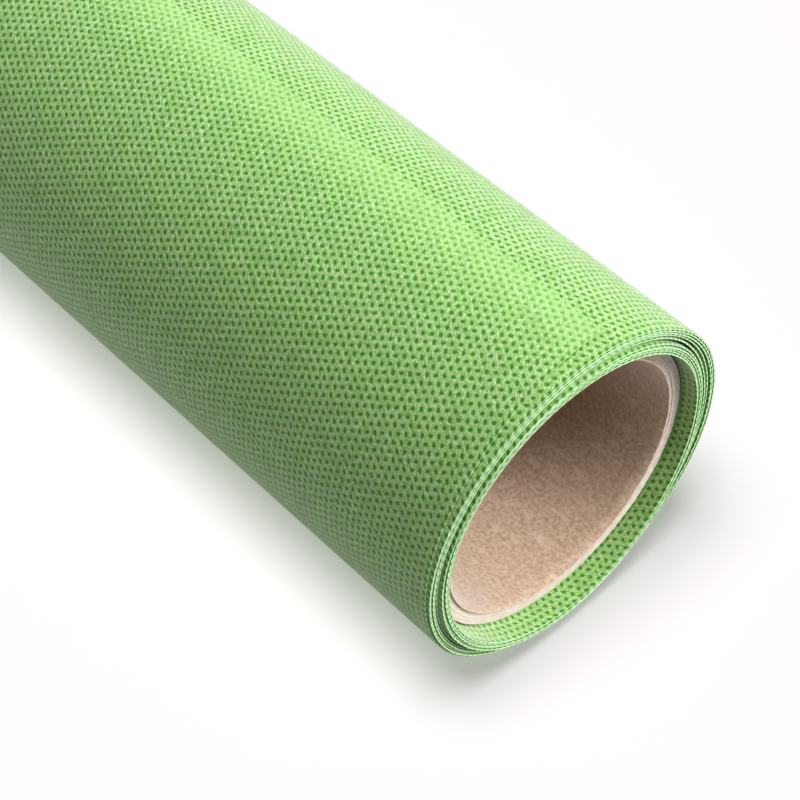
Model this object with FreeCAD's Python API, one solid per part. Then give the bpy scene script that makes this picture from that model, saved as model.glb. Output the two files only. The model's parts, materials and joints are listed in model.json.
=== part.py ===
import FreeCAD, Part
import math
import os

# Backdrop roll: one long sheet of bonded non-woven fabric wound on a cardboard core.
# The core's axis is X, with the origin on it at mid-length. +Z is up and -Y is the front,
# where the outermost turn can be peeled off the roll and laid forward on the floor.
# Millimetres throughout. Angles are in the YZ plane, from +Y towards +Z.

# ---- driving dimensions: core ----
bore_radius = 24.65         # inside of the core, which goes over a crossbar
core_length = 1595.0
ply_thicknesses = {
    "core_inner_liner": 0.40,
    "core_body_ply_1": 0.65,
    "core_body_ply_2": 0.65,
    "core_body_ply_3": 0.65,
    "core_outer_wrap": 0.40,
}
glue_line = 0.01            # left open between two plies

# ---- driving dimensions: sheet ----
sheet_width = 1600.0        # along the core
sheet_length = 2000.0       # along the winding
sheet_thickness = 0.35
turn_clearance = 0.02       # air between two turns of one group
group_gap = 0.50            # slack between the tight inner turns and the looser outer ones
inner_turn_count = 4        # turns wound tight on the core
outer_turn_count = 6        # turns outside the slack, with the one that peels off
free_edge_angle = 78.0      # the sheet's outer end, just behind the top of the roll
underside_half_angle = 6.0  # where the outer turns lie flat under the roll's own weight

# ---- driving dimensions: double-sided tape under the sheet's inner end ----
tape_count = 5
tape_width = 48.0           # along the core
tape_wrap = 12.0            # round the core
tape_thickness = 0.10
tape_clearance = 0.01       # on each face

# ---- driving dimensions: the peeling turn ----
flap_strip_count = 10
flap_axial_shift = -1.3     # how far the outermost turn has crept along the core

# ---- worked out ----
TOP, BOTTOM = 90.0, 270.0
core_radius = bore_radius + sum(ply_thicknesses.values())
tape_outer_radius = core_radius + tape_clearance + tape_thickness
innermost_radius = tape_outer_radius + tape_clearance + sheet_thickness
half_turn_drop = (sheet_thickness + turn_clearance) / 2
whole_half_turns = 2 * (inner_turn_count + outer_turn_count) + 1
slack_half_turn = 2 * outer_turn_count - 1
outermost_radius = innermost_radius + (whole_half_turns + 1) * half_turn_drop + group_gap


def polar(centre_height, radius, angle, x=0.0):
    turn = math.radians(angle)
    return FreeCAD.Vector(x, radius * math.cos(turn), centre_height + radius * math.sin(turn))


# The sheet is a two-centre spiral. Its half-turns are numbered inwards from the top: even ones
# run down the front and odd ones up the back. A stretch is one round run of the sheet's outer
# face: (height of its centre, radius, first angle, last angle).


def radius_at_start(step):
    """Radius of the outer face at the top or bottom point where half-turn number step begins."""
    slack = group_gap if step > slack_half_turn else 0.0
    return outermost_radius - step * half_turn_drop - slack


def half_turn(step):
    """The stretch of half-turn number step, short of the flat underside where it has one."""
    runs_down = step % 2 == 0
    side = 1 if runs_down else -1
    begins, ends = radius_at_start(step), radius_at_start(step + 1)
    first_angle = TOP if runs_down else BOTTOM
    last_angle = first_angle + 180.0
    bottom_step = step + 1 if runs_down else step
    if bottom_step <= slack_half_turn:
        if runs_down:
            last_angle -= underside_half_angle
        else:
            first_angle += underside_half_angle
    return side * (begins - ends) / 2, (begins + ends) / 2, first_angle, last_angle


def middle_length(stretches):
    """Length of the sheet's middle surface along its stretches and the flats between them."""
    total = 0.0
    before = None
    for centre_height, radius, first_angle, last_angle in stretches:
        middle_radius = radius - sheet_thickness / 2
        start = polar(centre_height, middle_radius, first_angle)
        if before is not None:
            total += start.distanceToPoint(before)
        total += math.radians(last_angle - first_angle) * middle_radius
        before = polar(centre_height, middle_radius, last_angle)
    return total


def whole_sheet():
    """Every stretch from the free edge inwards. The last one ends where the length runs out."""
    stretches = [half_turn(step) for step in range(whole_half_turns)]
    centre_height, radius, _, last_angle = stretches[0]
    stretches[0] = (centre_height, radius, free_edge_angle, last_angle)
    left_over = sheet_length - middle_length(stretches)
    centre_height, radius, first_angle, _ = half_turn(whole_half_turns)
    wrap = math.degrees(left_over / (radius - sheet_thickness / 2))
    stretches.append((centre_height, radius, first_angle, first_angle + wrap))
    return stretches


def arc_edge(centre_height, radius, first_angle, last_angle, x):
    middle_angle = (first_angle + last_angle) / 2
    points = [polar(centre_height, radius, a, x) for a in (first_angle, middle_angle, last_angle)]
    return Part.Arc(*points).toShape()


def face_edges(stretches, depth, x, lead_in=None):
    """Edges of one face of the sheet, depth inside its outer face.

    A lead_in stretch adds only the flat that runs from its last point to the first stretch."""
    edges = []
    before = None
    if lead_in is not None:
        before = polar(lead_in[0], lead_in[1] - depth, lead_in[3], x)
    for centre_height, radius, first_angle, last_angle in stretches:
        start = polar(centre_height, radius - depth, first_angle, x)
        if before is not None and start.distanceToPoint(before) > 1e-6:
            edges.append(Part.LineSegment(before, start).toShape())
        edges.append(arc_edge(centre_height, radius - depth, first_angle, last_angle, x))
        before = polar(centre_height, radius - depth, last_angle, x)
    return edges


def sheet_solid(stretches, thickness, x, width, lead_in=None):
    """Closed solid of a sheet along the stretches, from x to x + width."""
    outer = face_edges(stretches, 0.0, x, lead_in)
    inner = face_edges(stretches, thickness, x, lead_in)
    ends = [
        Part.LineSegment(outer[0].firstVertex().Point, inner[0].firstVertex().Point).toShape(),
        Part.LineSegment(outer[-1].lastVertex().Point, inner[-1].lastVertex().Point).toShape(),
    ]
    outline = Part.Wire(Part.__sortEdges__(outer + inner + ends))
    return Part.Face(outline).extrude(FreeCAD.Vector(width, 0, 0))


def core_plies():
    """Nested paper tubes, from the liner outwards."""
    start = FreeCAD.Vector(-core_length / 2, 0, 0)
    along = FreeCAD.Vector(1, 0, 0)
    plies = {}
    inner_radius = bore_radius
    for name, thickness in ply_thicknesses.items():
        outer_radius = inner_radius + thickness
        skin_radius = outer_radius - (glue_line if outer_radius < core_radius - 1e-6 else 0.0)
        outside = Part.makeCylinder(skin_radius, core_length, start, along)
        hole = Part.makeCylinder(inner_radius, core_length, start, along)
        plies[name] = outside.cut(hole).Solids[0]
        inner_radius = outer_radius
    return plies


def start_tapes(inner_end_angle):
    """Pieces of tape under the sheet's inner end, spaced evenly along the core."""
    wrap = math.degrees(tape_wrap / tape_outer_radius)
    stretch = (0.0, tape_outer_radius, inner_end_angle - wrap, inner_end_angle)
    spacing = sheet_width / tape_count
    tapes = {}
    for number in range(tape_count):
        x = (number - (tape_count - 1) / 2) * spacing - tape_width / 2
        tapes[f"start_tape_{number + 1}"] = sheet_solid([stretch], tape_thickness, x, tape_width)
    return tapes


def strip_stretches(peeling):
    """The peeling turn cut into equal stretches, from the one next to the underside outwards."""
    centre_height, radius, first_angle, last_angle = peeling
    step = (last_angle - first_angle) / flap_strip_count
    return [
        (centre_height, radius, last_angle - (number + 1) * step, last_angle - number * step)
        for number in range(flap_strip_count)
    ]


def flap_strips(peeling):
    """The peeling turn as strips side by side. The last one has the sheet's free edge."""
    x = flap_axial_shift - sheet_width / 2
    return {
        f"flap_strip_{number + 1:02d}": sheet_solid([stretch], sheet_thickness, x, sheet_width)
        for number, stretch in enumerate(strip_stretches(peeling))
    }


def hinge_points(peeling):
    """A point on each strip's hinge line: its outer face, at the edge nearer the underside."""
    return [polar(height, radius, last) for height, radius, _, last in strip_stretches(peeling)]


def make_parts():
    stretches = whole_sheet()
    peeling, wound = stretches[0], stretches[1:]
    inner_end_angle = wound[-1][3]
    parts = core_plies()
    parts.update(start_tapes(inner_end_angle))
    parts["wound_sheet"] = sheet_solid(
        wound, sheet_thickness, -sheet_width / 2, sheet_width, lead_in=peeling
    )
    parts.update(flap_strips(peeling))
    return parts


def print_hinges(peeling):
    """The places of the hinges between the strips, for whoever declares them."""
    for number, point in enumerate(hinge_points(peeling)):
        print(f"hinge {number + 1:2d} along X at y {point.y:9.5f}, z {point.z:9.5f}")


os.makedirs("parts", exist_ok=True)
for node, shape in make_parts().items():
    shape.exportStep(f"parts/{node}.step")
print_hinges(whole_sheet()[0])
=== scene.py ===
import json
import math

import bpy
import numpy as np
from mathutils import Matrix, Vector


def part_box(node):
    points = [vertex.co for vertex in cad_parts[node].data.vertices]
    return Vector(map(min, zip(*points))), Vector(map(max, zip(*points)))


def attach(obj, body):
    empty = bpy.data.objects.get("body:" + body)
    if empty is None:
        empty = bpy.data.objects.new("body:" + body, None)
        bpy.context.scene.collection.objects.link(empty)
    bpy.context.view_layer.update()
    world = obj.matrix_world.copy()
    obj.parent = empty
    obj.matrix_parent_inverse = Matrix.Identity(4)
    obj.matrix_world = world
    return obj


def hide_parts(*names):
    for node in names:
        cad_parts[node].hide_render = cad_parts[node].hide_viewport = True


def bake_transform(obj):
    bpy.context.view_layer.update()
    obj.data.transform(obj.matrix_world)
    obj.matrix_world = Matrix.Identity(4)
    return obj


# Looks of a backdrop roll: green point-bonded non-woven sheet wound on a cardboard core.
# The axis is X, +Z is up, and the outermost turn peels off towards -Y. Lengths are metres,
# and angles are degrees in the YZ plane, from +Y towards +Z.

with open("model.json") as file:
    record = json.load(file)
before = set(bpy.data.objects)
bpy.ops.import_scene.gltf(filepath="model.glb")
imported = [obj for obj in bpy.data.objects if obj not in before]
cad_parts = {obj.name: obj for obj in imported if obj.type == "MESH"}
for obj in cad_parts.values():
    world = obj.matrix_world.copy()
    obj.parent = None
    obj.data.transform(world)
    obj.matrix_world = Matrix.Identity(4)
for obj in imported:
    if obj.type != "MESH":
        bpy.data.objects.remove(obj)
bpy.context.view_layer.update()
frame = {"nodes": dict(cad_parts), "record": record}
MM = 0.001
TINY = 1e-9

# ---- from the frame ----
mounts = {mount["name"]: mount for mount in frame["record"]["mounts"]}
BORE_RADIUS = mounts["core_bore"]["dims"]["r_mm"] * MM
CORE_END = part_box("core_inner_liner")[1].x
SHEET_HALF_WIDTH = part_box("wound_sheet")[1].x
FLAP_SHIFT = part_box("flap_strip_01")[1].x - SHEET_HALF_WIDTH
FLOOR_Z = mounts["underside"]["pos_m"][2]
STRIP_COUNT = sum(name.startswith("flap_strip_") for name in frame["nodes"])
TAPE_NODES = sorted(name for name in frame["nodes"] if name.startswith("start_tape_"))

# ---- core ----
# The plies from the inside out: thickness, and how far each end is set back.
PLIES = {
    "core_inner_liner": (0.40 * MM, 0.0),
    "core_body_ply_1": (0.65 * MM, 0.42 * MM),
    "core_body_ply_2": (0.65 * MM, 0.26 * MM),
    "core_body_ply_3": (0.65 * MM, 0.23 * MM),
    "core_outer_wrap": (0.40 * MM, 0.18 * MM),
}
CORE_RADIUS = BORE_RADIUS + sum(thickness for thickness, _ in PLIES.values())

# ---- sheet ----
SHEET_LENGTH = 2.0
PITCH_THICKNESS = 0.35 * MM   # what each turn takes up, with its fluff
TURN_CLEARANCE = 0.02 * MM
CLOTH_THICKNESS = 0.35 * MM   # between the bond points
GROUP_GAP = 0.50 * MM         # between the loose outer turns and the tight inner ones
INNER_TURNS = 4
OUTER_TURNS = 6
FREE_EDGE_ANGLE = 78.0
UNDERSIDE_HALF_ANGLE = 6.0
TAPE_THICKNESS = 0.10 * MM
TAPE_CLEARANCE = 0.01 * MM
TAPE_WRAP = 12.0 * MM         # the tape's length round the core

# ---- bond points: a centred lattice of ovals, in two directions by turns ----
CELL_ALONG = 2.53 * MM        # along the core
CELL_ROUND = 1.51 * MM        # along the winding
# A point's offset in its cell, tilt from the core's direction, half length and half width.
POINTS = (
    (0.0, 50.0, 0.45 * MM, 0.31 * MM),
    (0.5, -35.0, 0.40 * MM, 0.32 * MM),
)
ROW_FROM_EDGE = 0.30 * MM     # the last row of points, from the cut edge
POINT_ORIGIN = SHEET_HALF_WIDTH - ROW_FROM_EDGE
POINT_DEPTH_OUTSIDE = 0.11 * MM
POINT_DEPTH_INSIDE = 0.08 * MM

# ---- how the real winding strays from the ideal one ----
SLACK_SHIFT = 0.30 * MM       # the loose outer turns sit this far towards +Y
SLACK_BULGE = 0.50 * MM       # and the outermost bulge this much further there
BULGE_BACK = 0.3              # the last loose turn's share of the bulge, towards the core
LAST_TURN_SAG = 0.25 * MM     # that turn also sinks this far into the gap between the groups
TELESCOPE_MEAN = 0.85 * MM    # the tight inner turns stick out of the near end
TELESCOPE_TILT = (0.55 * MM, 260.0)   # by this much more at this angle
TELESCOPE_WARP = (0.35 * MM, 75.0)    # and at this one and opposite it
SETBACK_SHARE = 2.7           # of the frame's setback of the outer turn, at its free edge
SETBACK_POWER = 2.4           # how late along the turn the setback grows
EDGE_WANDER = 0.10 * MM       # of the cut ends, along the core
FREE_EDGE_LIFT = 0.12 * MM    # the free edge stands off the turn under it
FREE_EDGE_LIFT_LENGTH = 4.0 * MM

# ---- how finely the sheet is meshed ----
RELIEF_LENGTH = 0.126         # of the near end, where the bond points are modelled
RELIEF_FADE = 3.0 * MM
RELIEF_STEP_ALONG = CELL_ALONG / 8
RELIEF_STEP_ROUND = CELL_ROUND / 5
FINE_LENGTH = 1.0 * MM        # of the near end, where the cut edge shows
EDGE_STEP_ALONG = 0.14 * MM
PLAIN_STEP_ALONG = 8.0 * MM
PLAIN_STEP_ROUND = 1.0 * MM
TURN_ARCS = 6
HIDDEN_STEP_ROUND = RELIEF_STEP_ROUND * 1.25
HIDDEN_STEP_ALONG = 200.0 * MM
HIDDEN_FINE_LENGTH = 6.0 * MM   # of each end
SHORTEST_TURN = 20.0 * MM     # anything shorter joins the turn before it
CUT_ROUNDING = (0.0, 0.02 * MM, 0.06 * MM)   # lines this far from a cut edge
CUT_SHARE = 0.94              # of the full thickness, at a cut edge
FLAP_CUT_FADED = 0.75         # of a cut edge's painted sheen, gone from the outermost turn's

# ---- how finely the core and its tape are meshed ----
CORE_SEGMENTS = 360
CORE_RINGS = 9
CORE_RING_INSET = 2.0 * MM
PLY_BEVEL = 0.03 * MM
PLY_CLEARANCE = 0.01 * MM
FRAY = 0.03 * MM
FRAY_LENGTH = 1.2 * MM
TAPE_STEPS_ROUND = 25
TAPE_STEPS_ALONG = 9

# The table is this far under the roll, to show all of the peeled turn, which waves as it lies.
TABLE_DROP = 0.25 * MM

TOP, BOTTOM = 90.0, 270.0


# ======== the winding ========

class Winding:
    """Middle surface of the sheet as arcs and flats, by the length wound from its free edge."""

    def __init__(self):
        self.pieces = []      # kind, the wound length where it starts, and its shape
        self.length = 0.0
        tape_outer = CORE_RADIUS + TAPE_CLEARANCE + TAPE_THICKNESS
        innermost = tape_outer + TAPE_CLEARANCE + PITCH_THICKNESS
        half_turns = 2 * (INNER_TURNS + OUTER_TURNS) + 1
        self.drop = (PITCH_THICKNESS + TURN_CLEARANCE) / 2
        self.outermost = innermost + (half_turns + 1) * self.drop + GROUP_GAP
        self.slack_half_turn = 2 * OUTER_TURNS - 1
        self.half_turn_starts = []
        for step in range(half_turns + 1):
            self.half_turn_starts.append(self.length)
            self.add_half_turn(step)
        self.slack_begins = self.half_turn_starts[self.slack_half_turn]
        self.slack_ends = self.half_turn_starts[self.slack_half_turn + 1]

    def outer_radius(self, step):
        """The sheet's outer face where a half turn begins, from the axis."""
        slack = GROUP_GAP if step > self.slack_half_turn else 0.0
        return self.outermost - step * self.drop - slack

    def add_half_turn(self, step):
        """Half a turn, down at -Y or up at +Y. Most outer turns also lie flat at the bottom."""
        runs_down = step % 2 == 0
        begins, ends = self.outer_radius(step), self.outer_radius(step + 1)
        height = (begins - ends) / 2 * (1 if runs_down else -1)
        radius = (begins + ends) / 2 - PITCH_THICKNESS / 2
        start = TOP if runs_down else BOTTOM
        first = FREE_EDGE_ANGLE if step == 0 else start
        last = start + 180.0
        bottom_step = step + 1 if runs_down else step
        if bottom_step <= self.slack_half_turn:
            if runs_down:
                last -= UNDERSIDE_HALF_ANGLE
            else:
                first += UNDERSIDE_HALF_ANGLE
                self.add_flat(self.end_point(), self.arc_point(height, radius, first))
        self.add_arc(height, radius, first, last)

    def arc_point(self, height, radius, angle):
        turn = math.radians(angle)
        return np.array([radius * math.cos(turn), height + radius * math.sin(turn)])

    def end_point(self):
        """Where the last arc ends."""
        height, radius, _, last = self.pieces[-1][2]
        return self.arc_point(height, radius, last)

    def add_arc(self, height, radius, first, last):
        self.pieces.append(("arc", self.length, (height, radius, first, last)))
        self.length += math.radians(last - first) * radius

    def add_flat(self, begin, end):
        self.pieces.append(("flat", self.length, (begin, end)))
        self.length += float(np.linalg.norm(end - begin))

    def at(self, wound):
        """Points and outward normals, in Y and Z, at an array of wound lengths."""
        wound = np.asarray(wound, float)
        starts = np.array([piece[1] for piece in self.pieces])
        which = np.clip(np.searchsorted(starts, wound, side="right") - 1, 0, len(starts) - 1)
        points = np.zeros((len(wound), 2))
        normals = np.zeros((len(wound), 2))
        for number in np.unique(which):
            chosen = which == number
            kind, start, shape = self.pieces[number]
            along = wound[chosen] - start
            if kind == "arc":
                height, radius, first, _ = shape
                turn = math.radians(first) + along / radius
                normals[chosen] = np.stack([np.cos(turn), np.sin(turn)], 1)
                points[chosen] = normals[chosen] * radius + (0.0, height)
            else:
                begin, end = shape
                share = along / np.linalg.norm(end - begin)
                points[chosen] = begin + np.outer(share, end - begin)
                normals[chosen] = (0.0, -1.0)
        return points, normals


winding = Winding()
flap_length = winding.half_turn_starts[1]
flap_root_end = winding.pieces[2][1]          # past the underside's flat


def smooth(low, high, value):
    """Eases from 0 at the low value to 1 at the high one."""
    share = np.clip((value - low) / (high - low), 0.0, 1.0)
    return share * share * (3 - 2 * share)


def wound_angle(points):
    """Angles in radians, in the YZ plane."""
    return np.arctan2(points[:, 1], points[:, 0])


def tightness(wound):
    """0 in the loose outer turns and 1 in the tight inner ones."""
    return smooth(winding.slack_begins, winding.slack_ends, wound)


def bulge(wound, points):
    """How far each place bulges towards +Y: less from turn to turn, so that gaps open."""
    share = 1 - (1 + BULGE_BACK) * smooth(0.3, 0.95, wound / winding.slack_begins)
    return SLACK_BULGE * share * smooth(0.55, 1.0, points[:, 0] / winding.outermost)


def sag(wound, points):
    """How far the last loose turn sinks towards the core: least over the top and at -Y."""
    share = smooth(0.78, 0.88, wound / winding.slack_begins) * (1 - tightness(wound))
    share *= 1 - 0.8 * smooth(0.3, 0.9, points[:, 1] / winding.outermost)
    return LAST_TURN_SAG * share * (1 + 0.6 * points[:, 0] / winding.outermost)


def relaxed(wound):
    """The winding's points and normals, with the strays of a real one."""
    points, normals = winding.at(wound)
    lift = FREE_EDGE_LIFT * np.clip(1 - wound / FREE_EDGE_LIFT_LENGTH, 0, 1) ** 2
    points = points + normals * (lift - sag(wound, points))[:, None]
    points[:, 0] += (SLACK_SHIFT + bulge(wound, points)) * (1 - tightness(wound))
    return points, normals


def telescope(wound):
    """How far each place along the winding has crept towards the near end."""
    points, _ = winding.at(wound)
    angle = wound_angle(points)
    tilt = TELESCOPE_TILT[0] * np.cos(angle - math.radians(TELESCOPE_TILT[1]))
    warp = TELESCOPE_WARP[0] * np.cos(2 * (angle - math.radians(TELESCOPE_WARP[1])))
    creep = tightness(wound) * (TELESCOPE_MEAN + tilt + warp)
    outer_turn = np.clip(1 - wound / flap_length, 0, 1)
    creep += FLAP_SHIFT * SETBACK_SHARE * outer_turn ** SETBACK_POWER
    wander = np.sin(wound * 47.0 + 1.0) + 0.6 * np.sin(wound * 19.3 + 2.2)
    return creep + EDGE_WANDER * wander * (1 - outer_turn)


# ======== the bond points ========

def point_nearness(along, round_):
    """Distance from the nearest bond point's middle, where 1 is the point's rim."""
    nearest = np.full(np.broadcast(along, round_).shape, 9.0)
    for offset, tilt, half_long, half_short in POINTS:
        a = (along - POINT_ORIGIN) / CELL_ALONG + offset
        b = round_ / CELL_ROUND + offset
        a = (a - np.round(a)) * CELL_ALONG
        b = (b - np.round(b)) * CELL_ROUND
        c, s = math.cos(math.radians(tilt)), math.sin(math.radians(tilt))
        reach = np.hypot((a * c + b * s) / half_long, (b * c - a * s) / half_short)
        nearest = np.minimum(nearest, reach)
    return nearest


def pressed(along, round_):
    """1 in the middle of a bond point and 0 in the fluff between."""
    return 1 - smooth(0.4, 2.1, point_nearness(along, round_))


# ======== meshes ========

def make_piece(name, points, quads, material, body, attributes, flat_from=None,
               normals=None):
    """A mesh of quads with its named vertex values. Quads past flat_from are shaded flat."""
    mesh = bpy.data.meshes.new(name)
    mesh.vertices.add(len(points))
    mesh.vertices.foreach_set("co", np.asarray(points, np.float32).ravel())
    mesh.loops.add(quads.size)
    mesh.loops.foreach_set("vertex_index", np.asarray(quads, np.int32).ravel())
    mesh.polygons.add(len(quads))
    mesh.polygons.foreach_set("loop_start", np.arange(0, quads.size, 4, dtype=np.int32))
    is_flat = np.zeros(len(quads), bool)
    if flat_from is not None:
        is_flat[flat_from:] = True
    mesh.update(calc_edges=True)
    sharp = mesh.attributes.new("sharp_face", "BOOLEAN", "FACE")
    sharp.data.foreach_set("value", is_flat)
    for key, values in attributes.items():
        kind = "FLOAT_VECTOR" if values.ndim == 2 else "FLOAT"
        attribute = mesh.attributes.new(key, kind, "POINT")
        field = "vector" if values.ndim == 2 else "value"
        attribute.data.foreach_set(field, np.asarray(values, np.float32).ravel())
    if normals is not None:
        mesh.normals_split_custom_set_from_vertices(normals)
    mesh.materials.append(material)
    piece = bpy.data.objects.new(name, mesh)
    bpy.context.scene.collection.objects.link(piece)
    if body is not None:
        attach(piece, body)
    return piece


def grid_quads(rows, columns, start=0):
    """Faces of a grid of vertices, the first of them numbered start."""
    corner = np.arange(rows - 1)[:, None] * columns + np.arange(columns - 1)[None, :] + start
    return np.stack([corner, corner + 1, corner + columns + 1, corner + columns], -1).reshape(-1, 4)


def wall_quads(line, depth):
    """Quads between a run of vertices and the same run on the other face."""
    a, b = line[:-1], line[1:]
    return np.stack([a, a + depth, b + depth, b], -1)


def sheet_grid_quads(rows, columns):
    """Faces of a closed sheet. Its four sides come last, and are shaded flat."""
    count = rows * columns
    outer = grid_quads(rows, columns)
    inner = grid_quads(rows, columns, count)[:, ::-1]
    index = np.arange(count).reshape(rows, columns)
    sides = [
        wall_quads(index[0, ::-1], count),
        wall_quads(index[-1], count),
        wall_quads(index[:, 0], count),
        wall_quads(index[::-1, -1], count),
    ]
    return np.concatenate([outer, inner, *sides]), len(outer) + len(inner)


def spread(low, high, step):
    """Even lines from low to high, about a step apart."""
    count = max(1, round((high - low) / step))
    return np.linspace(low, high, count + 1)


def with_rounding(lines, low_is_cut, high_is_cut):
    """Adds the closely spaced lines that round a cut edge."""
    inset = CUT_ROUNDING[-1]
    extra = []
    kept = lines
    if low_is_cut:
        extra += [lines[0] + step for step in CUT_ROUNDING]
        kept = kept[kept > lines[0] + 2 * inset]
    if high_is_cut:
        extra += [lines[-1] - step for step in CUT_ROUNDING]
        kept = kept[kept < lines[-1] - 2 * inset]
    return np.unique(np.concatenate([kept, extra]))


def past_seams(lines, low_is_cut, high_is_cut):
    """The lines with one more beyond each seam, so that both sides of it shade alike."""
    low = [] if low_is_cut else [2 * lines[0] - lines[1]]
    high = [] if high_is_cut else [2 * lines[-1] - lines[-2]]
    inside = slice(len(low), len(low) + len(lines))
    return np.concatenate([low, lines, high]), inside


def full_thickness(distance):
    """Share of the full thickness at this distance from a cut edge."""
    gone = np.clip(1 - distance / CUT_ROUNDING[-1], 0, 1)
    return CUT_SHARE + (1 - CUT_SHARE) * np.sqrt(1 - gone ** 2)


def sheet_faces(wound_lines, along_lines, relief):
    """Grids of points on the sheet's outer and inner face, and its share of full thickness."""
    middle, normal = relaxed(wound_lines)
    wound, along = np.meshgrid(wound_lines, along_lines, indexing="ij")
    edge_distance = np.minimum(wound, SHEET_LENGTH - wound)
    edge_distance = np.minimum(edge_distance, SHEET_HALF_WIDTH - np.abs(along))
    share = full_thickness(np.maximum(edge_distance, 0))
    press = np.zeros(wound.shape)
    if relief:
        from_end = SHEET_HALF_WIDTH - np.abs(along)
        fade = 1 - smooth(RELIEF_LENGTH - RELIEF_FADE, RELIEF_LENGTH, from_end)
        press = pressed(along, wound) * fade
    faces = []
    for side, point_depth in ((1, POINT_DEPTH_OUTSIDE), (-1, POINT_DEPTH_INSIDE)):
        depth = side * (CLOTH_THICKNESS / 2 * share - point_depth * press)
        x = along + telescope(wound_lines)[:, None]
        y = middle[:, 0, None] + depth * normal[:, 0, None]
        z = middle[:, 1, None] + depth * normal[:, 1, None]
        faces.append(np.stack([x, y, z], -1))
    return faces, share


def seam_places(rows, columns, inside_wound, inside_along):
    """Which vertices lie on a seam and not on the sheet's cut ends."""
    on_seam = np.zeros((rows, columns), bool)
    if inside_wound.start:
        on_seam[inside_wound.start, :] = True
    if inside_wound.stop < rows:
        on_seam[inside_wound.stop - 1, :] = True
    if inside_along.start:
        on_seam[:, inside_along.start] = True
    else:
        on_seam[:, 0] = False
    if inside_along.stop < columns:
        on_seam[:, inside_along.stop - 1] = True
    else:
        on_seam[:, -1] = False
    return on_seam


def seam_normals(faces, inside_wound, inside_along):
    """Normals for the vertices on seams. Zero elsewhere, where Blender works them out."""
    on_seam = seam_places(*faces[0].shape[:2], inside_wound, inside_along)
    found = []
    for side, face in zip((1, -1), faces):
        across = np.gradient(face, axis=0)
        lengthwise = np.gradient(face, axis=1)
        normal = np.cross(lengthwise, across) * side
        normal /= np.linalg.norm(normal, axis=-1, keepdims=True)
        normal = np.where(on_seam[..., None], normal, 0.0)
        found.append(normal[inside_wound, inside_along].reshape(-1, 3))
    return np.concatenate(found)


def cut_edge_sheen_share(wound_lines, thickness_share):
    """How far each place has a cut edge's painted sheen, a paler colour. The outermost turn's edge
    has less of it.
    """
    kept = 1 - FLAP_CUT_FADED * smooth(flap_length, 0.8 * flap_length, wound_lines[:, None])
    return (1 - thickness_share) / (1 - CUT_SHARE) * kept


def sheet_piece(name, wound_lines, along_lines, relief, material, body):
    """A closed piece of the sheet over these lines of the winding and of its width."""
    wound_cuts = (wound_lines[0] <= 0, wound_lines[-1] >= SHEET_LENGTH - TINY)
    along_cuts = (along_lines[0] <= TINY - SHEET_HALF_WIDTH,
                  along_lines[-1] >= SHEET_HALF_WIDTH - TINY)
    wound_lines = with_rounding(wound_lines, *wound_cuts)
    along_lines = with_rounding(along_lines, *along_cuts)
    wound_past, inside_wound = past_seams(wound_lines, *wound_cuts)
    along_past, inside_along = past_seams(along_lines, *along_cuts)
    faces, share = sheet_faces(wound_past, along_past, relief)
    normals = seam_normals(faces, inside_wound, inside_along)
    points = np.concatenate([face[inside_wound, inside_along].reshape(-1, 3) for face in faces])
    cut = cut_edge_sheen_share(wound_past, share)[inside_wound, inside_along].ravel()
    wound, along = np.meshgrid(wound_lines, along_lines, indexing="ij")
    cloth = np.stack([along, wound, np.zeros(along.shape)], -1).reshape(-1, 3)
    quads, flat_from = sheet_grid_quads(len(wound_lines), len(along_lines))
    attributes = {"cloth": np.concatenate([cloth, cloth]), "cut": np.concatenate([cut, cut])}
    piece = make_piece(name, points, quads, material, body, attributes, flat_from, normals)
    return piece


# ======== materials ========

# The sheet's colours: a pair is for a darker and a paler place.
FLUFF_COLOURS = (0.218, 0.378, 0.105, 1), (0.268, 0.438, 0.137, 1)
# The second film colour is the bond points' painted highlight near the free edge.
FILM_COLOURS = (0.07, 0.25, 0.02, 1), (0.17, 0.42, 0.08, 1)
STRAND_COLOUR = (0.54, 0.71, 0.45, 1)
# Painted highlight: the fluff's colour near the free edge.
FREE_EDGE_HIGHLIGHT_COLOUR = (0.42, 0.64, 0.30, 1)
# Painted sheen: the paler colour of a cut edge.
CUT_EDGE_SHEEN_COLOUR = (0.38, 0.66, 0.31, 1)
# Painted highlight: how far from the free edge it fades out.
FREE_EDGE_HIGHLIGHT_LENGTH = 14.0 * MM
RAGGED_SCALE = 2600.0
RAGGED_WIDTH = 0.26 * MM
RAGGED_APART = 0.7            # between the noise for one direction and for the other

# Paper board: a pale and a dark mottle, flecks and blotches.
BOARD_COLOURS = {
    "core_liner": ((0.565, 0.425, 0.32, 1), (0.335, 0.235, 0.16, 1), (0.20, 0.11, 0.07, 1),
                   (0.68, 0.56, 0.47, 1)),
    "core_board": ((0.58, 0.49, 0.43, 1), (0.46, 0.375, 0.32, 1), (0.18, 0.13, 0.10, 1),
                   (0.60, 0.52, 0.46, 1)),
    "core_wrap": ((0.58, 0.49, 0.42, 1), (0.46, 0.37, 0.30, 1), (0.2, 0.13, 0.08, 1),
                  (0.60, 0.52, 0.46, 1)),
}
TAPE_COLOURS = (0.62, 0.60, 0.50, 1), (0.76, 0.74, 0.66, 1)


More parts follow.
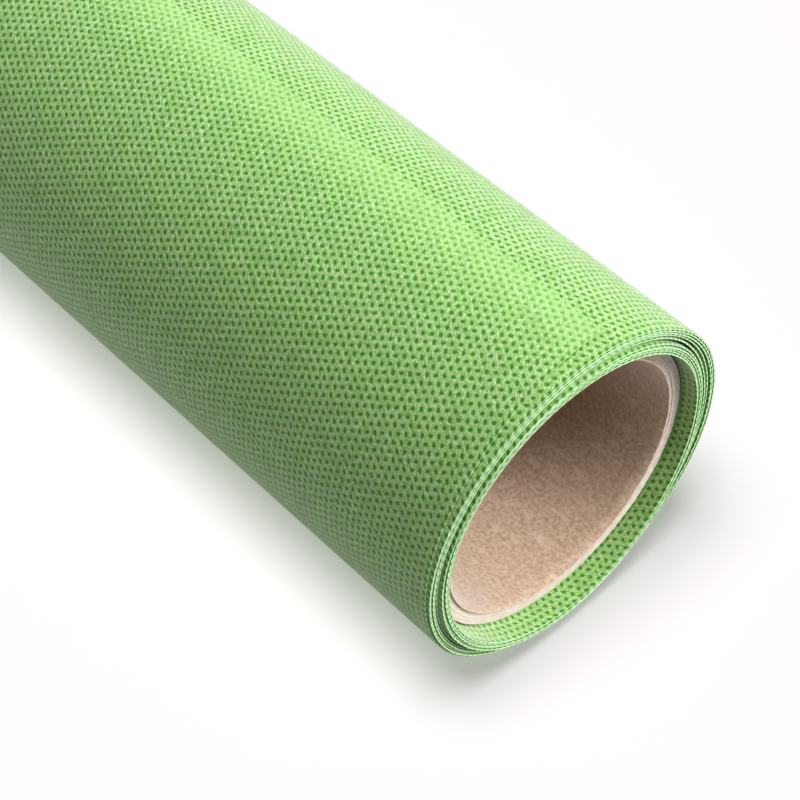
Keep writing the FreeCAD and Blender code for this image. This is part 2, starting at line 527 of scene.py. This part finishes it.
class Nodes:
    """Short ways to add and link shader nodes."""

    def __init__(self, name):
        self.material = bpy.data.materials.new(name)
        self.material.use_nodes = True
        self.tree = self.material.node_tree
        self.tree.nodes.clear()
        self.shader = self.tree.nodes.new("ShaderNodeBsdfPrincipled")
        output = self.tree.nodes.new("ShaderNodeOutputMaterial")
        self.tree.links.new(self.shader.outputs[0], output.inputs["Surface"])

    def put(self, value, socket):
        """Links a socket's value, or sets a plain one."""
        if isinstance(value, bpy.types.NodeSocket):
            self.tree.links.new(value, socket)
        else:
            socket.default_value = value

    def set(self, **sockets):
        """Sets the shader's inputs by name, with _ for a space."""
        for name, value in sockets.items():
            self.put(value, self.shader.inputs[name.replace("_", " ")])

    def attribute(self, name):
        node = self.tree.nodes.new("ShaderNodeAttribute")
        node.attribute_name = name
        return node

    def math(self, operation, a, b=0.0, c=0.0):
        node = self.tree.nodes.new("ShaderNodeMath")
        node.operation = operation
        for value, socket in zip((a, b, c), node.inputs):
            self.put(value, socket)
        return node.outputs[0]

    def vector(self, operation, a, b=(0.0, 0.0, 0.0)):
        node = self.tree.nodes.new("ShaderNodeVectorMath")
        node.operation = operation
        self.put(a, node.inputs[0])
        self.put(b, node.inputs[1])
        return node.outputs["Value" if operation in ("LENGTH", "DOT_PRODUCT") else "Vector"]

    def split(self, vector):
        node = self.tree.nodes.new("ShaderNodeSeparateXYZ")
        self.put(vector, node.inputs[0])
        return node.outputs

    def join(self, x, y, z=0.0):
        node = self.tree.nodes.new("ShaderNodeCombineXYZ")
        for value, socket in zip((x, y, z), node.inputs):
            self.put(value, socket)
        return node.outputs[0]

    def noise(self, vector, scale, detail=2.0, roughness=0.5, distortion=0.0):
        node = self.tree.nodes.new("ShaderNodeTexNoise")
        self.put(vector, node.inputs["Vector"])
        node.inputs["Scale"].default_value = scale
        node.inputs["Detail"].default_value = detail
        node.inputs["Roughness"].default_value = roughness
        node.inputs["Distortion"].default_value = distortion
        return node.outputs["Fac"]

    def ramp(self, value, low, high, to_low=0.0, to_high=1.0):
        """Eases from to_low to to_high as the value goes from low to high."""
        node = self.tree.nodes.new("ShaderNodeMapRange")
        node.interpolation_type = "SMOOTHSTEP"
        for item, socket in zip((value, low, high, to_low, to_high), node.inputs):
            self.put(item, socket)
        return node.outputs[0]

    def mix(self, share, a, b):
        node = self.tree.nodes.new("ShaderNodeMix")
        node.data_type = "RGBA"
        self.put(share, node.inputs["Factor"])
        self.put(a, node.inputs[6])
        self.put(b, node.inputs[7])
        return node.outputs[2]

    def bump(self, height, distance, normal=None):
        node = self.tree.nodes.new("ShaderNodeBump")
        node.inputs["Distance"].default_value = distance
        self.put(height, node.inputs["Height"])
        if normal is not None:
            self.put(normal, node.inputs["Normal"])
        return node.outputs[0]


def bond_point_nodes(nodes, along, round_):
    """Distance from the nearest bond point's middle, as point_nearness gives it."""
    reaches = []
    for offset, tilt, half_long, half_short in POINTS:
        local = []
        for value, cell, origin in ((along, CELL_ALONG, POINT_ORIGIN), (round_, CELL_ROUND, 0.0)):
            cells = nodes.math("MULTIPLY_ADD", value, 1 / cell, offset + 0.5 - origin / cell)
            local.append(nodes.math("SUBTRACT", nodes.math("FRACT", cells), 0.5))
        c, s = math.cos(math.radians(tilt)), math.sin(math.radians(tilt))
        flat = nodes.join(*local)
        long_way = (c * CELL_ALONG / half_long, s * CELL_ROUND / half_long, 0.0)
        short_way = (-s * CELL_ALONG / half_short, c * CELL_ROUND / half_short, 0.0)
        lengthwise = nodes.vector("DOT_PRODUCT", flat, long_way)
        crosswise = nodes.vector("DOT_PRODUCT", flat, short_way)
        reaches.append(nodes.vector("LENGTH", nodes.join(lengthwise, crosswise)))
    return nodes.math("MINIMUM", *reaches)


def strand_nodes(nodes, place, tilt, width, length, offset):
    """Streaky noise that runs at a tilt from the core's direction: bundles of fibres."""
    c, s = math.cos(math.radians(tilt)), math.sin(math.radians(tilt))
    along = nodes.vector("DOT_PRODUCT", place, (c / length, s / length, 0.0))
    across = nodes.vector("DOT_PRODUCT", place, (-s / width, c / width, 0.0))
    return nodes.noise(nodes.join(along, across, offset), 1.0, 2.0, 0.6, 0.6)


def ragged_point_nodes(nodes, place):
    """1 on a bond point and 0 off it, with a rim that wanders as the fibres do."""
    values = []
    for value, depth in zip(nodes.split(place), (0.0, RAGGED_APART)):
        elsewhere = nodes.vector("ADD", place, (0.0, 0.0, depth))
        stray = nodes.math("SUBTRACT", nodes.noise(elsewhere, RAGGED_SCALE, 1.0), 0.5)
        values.append(nodes.math("MULTIPLY_ADD", stray, RAGGED_WIDTH, value))
    return nodes.ramp(bond_point_nodes(nodes, *values), 0.65, 1.4, 1.0, 0.0)


def sheet_colour_nodes(nodes, place, point, strands):
    """Green fluff with paler strands and darker points. All is painted paler near the free edge, as
    a highlight.
    """
    # Painted highlight: 1 at the free edge, fading to 0 further in.
    loose = nodes.ramp(nodes.split(place)[1], 1.0 * MM, FREE_EDGE_HIGHLIGHT_LENGTH, 1.0, 0.0)
    clouds = nodes.noise(place, 220.0, 3.0, 0.6)
    fluff = nodes.mix(nodes.ramp(clouds, 0.3, 0.7), *FLUFF_COLOURS)
    fluff = nodes.mix(nodes.ramp(strands, 0.48, 0.72), fluff, STRAND_COLOUR)
    fluff = nodes.mix(nodes.math("MULTIPLY", loose, 0.30), fluff, FREE_EDGE_HIGHLIGHT_COLOUR)
    film = nodes.mix(loose, *FILM_COLOURS)
    colour = nodes.mix(point, fluff, film)
    cut = nodes.attribute("cut").outputs["Fac"]
    # Painted sheen: a paler colour towards each cut edge.
    return nodes.mix(nodes.ramp(cut, 0.2, 0.8, 0.0, 0.8), colour, CUT_EDGE_SHEEN_COLOUR)


def sheet_material(name, relief):
    """Spunbond: fine fibres, darker where they are pressed together, with painted sheen at a cut
    edge.
    """
    nodes = Nodes(name)
    place = nodes.attribute("cloth").outputs["Vector"]
    point = ragged_point_nodes(nodes, place)
    strands = nodes.math(
        "MAXIMUM",
        strand_nodes(nodes, place, 52.0, 0.17 * MM, 1.0 * MM, 0.0),
        strand_nodes(nodes, place, 10.0, 0.17 * MM, 0.7 * MM, 3.0),
    )
    colour = sheet_colour_nodes(nodes, place, point, strands)
    nodes.set(Base_Color=colour, Sheen_Weight=0.9, Sheen_Roughness=0.34, Sheen_Tint=(1, 1, 1, 1))
    nodes.set(Roughness=nodes.ramp(point, 0.0, 1.0, 0.88, 0.55), Specular_IOR_Level=0.1)
    nodes.set(Subsurface_Weight=0.55, Subsurface_Radius=(0.45, 1.0, 0.25), Subsurface_Scale=0.5 * MM)
    bump = nodes.bump(strands, 0.12 * MM)
    if not relief:
        bump = nodes.bump(nodes.math("SUBTRACT", 1.0, point), POINT_DEPTH_OUTSIDE, bump)
    nodes.set(Normal=bump)
    return nodes.material


def kraft_material(name, pale, dark, fleck, blotch):
    """Uncoated paper board: soft mottling, short fibres, a few dark flecks and pale blotches."""
    nodes = Nodes(name)
    place = nodes.attribute("board").outputs["Vector"]
    mottle = nodes.noise(place, 1300.0, 4.0, 0.75)
    fibres = nodes.noise(nodes.vector("MULTIPLY", place, (0.45, 1.0, 1.0)), 4200.0, 3.0, 0.7, 1.0)
    flecks = nodes.noise(nodes.vector("MULTIPLY", place, (0.5, 1.0, 1.0)), 900.0, 1.0)
    colour = nodes.mix(nodes.ramp(mottle, 0.3, 0.7), dark, pale)
    colour = nodes.mix(nodes.ramp(fibres, 0.45, 0.75, 0.0, 0.45), colour, pale)
    colour = nodes.mix(nodes.ramp(flecks, 0.77, 0.82, 0.0, 0.6), colour, fleck)
    blotches = nodes.noise(nodes.vector("MULTIPLY", place, (0.6, 1.0, 1.0)), 520.0, 3.0, 0.65)
    colour = nodes.mix(nodes.ramp(blotches, 0.5, 0.72, 0.0, 0.4), colour, blotch)
    nodes.set(Base_Color=colour, Roughness=nodes.ramp(mottle, 0.2, 0.8, 0.95, 0.8))
    nodes.set(Specular_IOR_Level=0.25, Normal=nodes.bump(fibres, 0.012 * MM))
    nodes.set(Sheen_Weight=0.8, Sheen_Roughness=0.5)
    return nodes.material


def tape_material():
    """Thin cloudy film."""
    nodes = Nodes("tape")
    place = nodes.attribute("board").outputs["Vector"]
    haze = nodes.noise(place, 900.0, 3.0)
    colour = nodes.mix(haze, *TAPE_COLOURS)
    nodes.set(Base_Color=colour, Roughness=nodes.ramp(haze, 0.2, 0.8, 0.3, 0.5))
    return nodes.material


# ======== the sheet ========

def axial_segments():
    """The sheet's width in three: the near end with modelled bond points, the rest without."""
    near = SHEET_HALF_WIDTH - RELIEF_LENGTH
    fine = SHEET_HALF_WIDTH - FINE_LENGTH
    before_fine = spread(near, fine, RELIEF_STEP_ALONG)[:-1]
    near_lines = np.concatenate([before_fine, spread(fine, SHEET_HALF_WIDTH, EDGE_STEP_ALONG)])
    return {
        "near": (near_lines, True),
        "middle": (spread(-near, near, PLAIN_STEP_ALONG), False),
        "far": (spread(-SHEET_HALF_WIDTH, -near, PLAIN_STEP_ALONG), False),
    }


def build_flap(materials):
    """The peeling turn, each piece from the middle of one strip to the middle of the next."""
    strip = flap_length / STRIP_COUNT
    middles = [flap_length - (number + 0.5) * strip for number in range(STRIP_COUNT)]
    for number in range(STRIP_COUNT):
        last = flap_root_end if number == 0 else middles[number - 1]
        first = 0.0 if number == STRIP_COUNT - 1 else middles[number]
        bend_start = flap_length + strip / 2 if number == 0 else middles[number - 1]
        ends, _ = relaxed(np.array([bend_start, middles[number]]))
        for place, (along_lines, relief) in axial_segments().items():
            step = RELIEF_STEP_ROUND if relief else PLAIN_STEP_ROUND
            name = f"peeling_turn_{number + 1:02d}_{place}"
            piece = sheet_piece(name, spread(first, last, step), along_lines, relief,
                                materials[relief], None)
            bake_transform(piece)
            if place == "near":
                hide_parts(f"flap_strip_{number + 1:02d}")


def build_second_turn(materials):
    """The turn under the peeling one. Returns where it ends."""
    last = winding.half_turn_starts[3]
    cuts = np.linspace(flap_root_end, last, TURN_ARCS + 1)
    for number in range(TURN_ARCS):
        for place, (along_lines, relief) in axial_segments().items():
            step = RELIEF_STEP_ROUND if relief else PLAIN_STEP_ROUND
            lines = spread(cuts[number], cuts[number + 1], step)
            name = f"wound_turn_02_{number + 1}_{place}"
            piece = sheet_piece(name, lines, along_lines, relief, materials[relief],
                                "root")
            if number == 0 and place == "near":
                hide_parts("wound_sheet")
    return last


def hidden_turn_lines():
    """Lines across the width where only the ends show."""
    fine = SHEET_HALF_WIDTH - HIDDEN_FINE_LENGTH
    near = spread(fine, SHEET_HALF_WIDTH, RELIEF_STEP_ALONG)
    middle = spread(-fine, fine, HIDDEN_STEP_ALONG)
    return np.unique(np.concatenate([-near, middle, near]))


def build_hidden_turns(materials, wound):
    """The rest of the sheet, a turn to a piece."""
    number = 3
    along_lines = hidden_turn_lines()
    while wound < SHEET_LENGTH - TINY:
        points, _ = winding.at(np.array([wound]))
        last = wound + 2 * math.pi * float(np.linalg.norm(points[0]))
        if last > SHEET_LENGTH - SHORTEST_TURN:
            last = SHEET_LENGTH
        sheet_piece(f"wound_turn_{number:02d}", spread(wound, last, HIDDEN_STEP_ROUND),
                    along_lines, True, materials[True], "root")
        wound = last
        number += 1


# ======== the core ========

def ragged_end(x, radius, turn):
    """X with the cut ends frayed a little."""
    fray = np.sin(turn * 23 + radius * 9e3) + 0.7 * np.sin(turn * 61 + radius * 2e4)
    fray = fray + 0.5 * np.sin(turn * 113 + radius * 5e4)
    at_end = np.abs(x) > CORE_END - FRAY_LENGTH
    return x + np.sign(x) * at_end * FRAY * fray


def ply_outline(inner, outer, end):
    """A ply's cut along the axis, as a closed outline of (x, radius) points."""
    inset = end - CORE_RING_INSET
    lengths = [PLY_BEVEL - end, *np.linspace(-inset, inset, CORE_RINGS), end - PLY_BEVEL]
    outline = [(x, inner) for x in lengths]
    outline += [(end, inner + PLY_BEVEL), (end, outer - PLY_BEVEL)]
    outline += [(x, outer) for x in reversed(lengths)]
    outline += [(-end, outer - PLY_BEVEL), (-end, inner + PLY_BEVEL)]
    return np.array(outline)


def core_ply(name, outline, material):
    """A tube turned about X from the outline."""
    turn = np.linspace(0, 2 * np.pi, CORE_SEGMENTS, endpoint=False)[:, None]
    radius = np.repeat(outline[None, :, 1], CORE_SEGMENTS, 0)
    x = ragged_end(np.repeat(outline[None, :, 0], CORE_SEGMENTS, 0), radius, turn)
    points = np.stack([x, radius * np.cos(turn), radius * np.sin(turn)], -1)
    index = np.arange(x.size).reshape(x.shape)
    after = np.roll(index, -1, 0)
    quads = np.stack([index, np.roll(index, -1, 1), np.roll(after, -1, 1), after], -1)
    place = np.stack([x, radius * turn, radius], -1)
    return make_piece(name, points.reshape(-1, 3), quads.reshape(-1, 4), material, "root",
                      {"board": place.reshape(-1, 3)})


def build_core(materials):
    """The plies, each a little thinner than its share of the wall so that none touch."""
    slots = {"core_inner_liner": "core_liner", "core_outer_wrap": "core_wrap"}
    inner = BORE_RADIUS
    for name, (thickness, setback) in PLIES.items():
        outer = inner + thickness
        outline = ply_outline(inner, outer - PLY_CLEARANCE, CORE_END - setback)
        slot = slots.get(name, "core_board")
        piece = core_ply(name.replace("core_", "tube_"), outline, materials[slot])
        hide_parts(name)
        inner = outer


def build_tapes(material):
    """Double-sided tape that holds the sheet's inner end on the core."""
    points, _ = winding.at(np.array([SHEET_LENGTH]))
    end_angle = math.degrees(wound_angle(points)[0])
    radius = CORE_RADIUS + TAPE_CLEARANCE + TAPE_THICKNESS / 2
    wrap = math.degrees(TAPE_WRAP / radius)
    turns = np.radians(np.linspace(end_angle - wrap, end_angle, TAPE_STEPS_ROUND))
    for node in TAPE_NODES:
        low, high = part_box(node)
        lines = np.linspace(low.x, high.x, TAPE_STEPS_ALONG)
        angle, along = np.meshgrid(turns, lines, indexing="ij")
        faces = [
            np.stack([along, r * np.cos(angle), r * np.sin(angle)], -1).reshape(-1, 3)
            for r in (radius + TAPE_THICKNESS / 2, radius - TAPE_THICKNESS / 2)
        ]
        quads, flat_from = sheet_grid_quads(len(turns), len(lines))
        place = np.stack([along, angle * radius, 0 * angle], -1).reshape(-1, 3)
        piece = make_piece(node.replace("start_", "hold_"), np.concatenate(faces), quads, material,
                           "root", {"board": np.concatenate([place, place])}, flat_from)
        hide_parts(node)


# ======== floor, light and camera ========

TABLE_HALF_WIDTH = 12.0
TABLE_COLOUR = (0.68, 0.635, 0.675, 1)
TABLE_GLOW = 0.42


def build_floor():
    """A white table, evenly lit from below as well, as for a cut-out picture."""
    nodes = Nodes("floor")
    nodes.set(Base_Color=TABLE_COLOUR, Roughness=0.9, Specular_IOR_Level=0.1)
    nodes.set(Emission_Color=(1, 1, 1, 1), Emission_Strength=TABLE_GLOW)
    half = TABLE_HALF_WIDTH
    corners = [(-half, -half), (half, -half), (half, half), (-half, half)]
    mesh = bpy.data.meshes.new("floor")
    mesh.from_pydata([(x, y, FLOOR_Z - TABLE_DROP) for x, y in corners], [], [(0, 1, 2, 3)])
    mesh.materials.append(nodes.material)
    floor = bpy.data.objects.new("floor", mesh)
    bpy.context.scene.collection.objects.link(floor)
    return floor


# Lamps. Directions are from the near end's middle, and powers are in watts.
KEY = {"direction": (0.72, 0.42, 0.62), "distance": 3.2, "size": 2.0, "power": 157.0}
FILL = {"direction": (0.10, 0.04, 0.96), "distance": 5.0, "size": 4.8, "power": 246.0}
RIM = {"direction": (-0.15, 0.95, 0.28), "distance": 4.0, "size": 2.4, "power": 44.0}
TABLE_LIGHT = {"direction": (0.0, -0.19, 0.98), "distance": 14.0, "size": 7.93, "power": 1818.0}
ROOM_SEEN = 0.86              # brightness of the room past the table's end, in the picture
ROOM_LIGHT = 0.002            # and as light


def add_light(name, setup, floor, reaches_floor):
    """A soft disk light that reaches either the floor alone or everything but the floor."""
    direction = Vector(setup["direction"]).normalized()
    light = bpy.data.lights.new(name, "AREA")
    light.shape = "DISK"
    light.size = setup["size"]
    light.energy = setup["power"]
    lamp = bpy.data.objects.new(name, light)
    lamp.location = Vector((SHEET_HALF_WIDTH, 0, 0)) + direction * setup["distance"]
    lamp.rotation_euler = direction.to_track_quat("Z", "Y").to_euler()
    bpy.context.scene.collection.objects.link(lamp)
    receivers = bpy.data.collections.new(f"{name}_receivers")
    receivers.objects.link(floor)
    linking = receivers.collection_objects[0].light_linking
    linking.link_state = "INCLUDE" if reaches_floor else "EXCLUDE"
    lamp.light_linking.receiver_collection = receivers


def build_room():
    """A white room past the table, which lights next to nothing itself."""
    world = bpy.data.worlds.new("studio")
    bpy.context.scene.world = world
    world.use_nodes = True
    tree = world.node_tree
    background = tree.nodes["Background"]
    background.inputs["Color"].default_value = (1, 1, 1, 1)
    seen = tree.nodes.new("ShaderNodeLightPath").outputs["Is Camera Ray"]
    strength = tree.nodes.new("ShaderNodeMapRange")
    strength.inputs["To Min"].default_value = ROOM_LIGHT
    strength.inputs["To Max"].default_value = ROOM_SEEN
    tree.links.new(seen, strength.inputs["Value"])
    tree.links.new(strength.outputs[0], background.inputs["Strength"])


def build_light(floor):
    """The room, the lamps, and how brightness turns into the picture's tones."""
    build_room()
    add_light("key", KEY, floor, False)
    add_light("fill", FILL, floor, False)
    add_light("rim", RIM, floor, False)
    add_light("table_light", TABLE_LIGHT, floor, True)
    bpy.context.scene.view_settings.view_transform = "Standard"
    bpy.context.scene.view_settings.gamma = 0.85


CAMERA_FROM_END = (0.1458, -0.1708, 0.2842)   # from the middle of the near end
CAMERA_AZIMUTH = 47.6
CAMERA_ELEVATION = 49.42
CAMERA_LENS = 101.6           # in mm, on a sensor this wide
CAMERA_SENSOR = 36.0


def build_camera():
    camera = bpy.data.objects.new("camera", bpy.data.cameras.new("camera"))
    camera.data.lens = CAMERA_LENS
    camera.data.sensor_width = CAMERA_SENSOR
    camera.data.clip_start = 0.01
    camera.location = Vector(CAMERA_FROM_END) + Vector((SHEET_HALF_WIDTH, 0, 0))
    azimuth = math.radians(CAMERA_AZIMUTH)
    elevation = math.radians(CAMERA_ELEVATION)
    level = math.cos(elevation)
    forward = Vector((-math.sin(azimuth) * level, math.cos(azimuth) * level, -math.sin(elevation)))
    camera.rotation_euler = forward.to_track_quat("-Z", "Y").to_euler()
    bpy.context.scene.collection.objects.link(camera)
    bpy.context.scene.camera = camera


def build():
    build_camera()
    build_light(build_floor())
    sheet = {True: sheet_material("sheet_relief", True), False: sheet_material("sheet", False)}
    build_flap(sheet)
    wound = build_second_turn(sheet)
    build_hidden_turns(sheet, wound)
    boards = {slot: kraft_material(slot.replace("core_", ""), *colours)
              for slot, colours in BOARD_COLOURS.items()}
    build_core(boards)
    build_tapes(tape_material())


build()
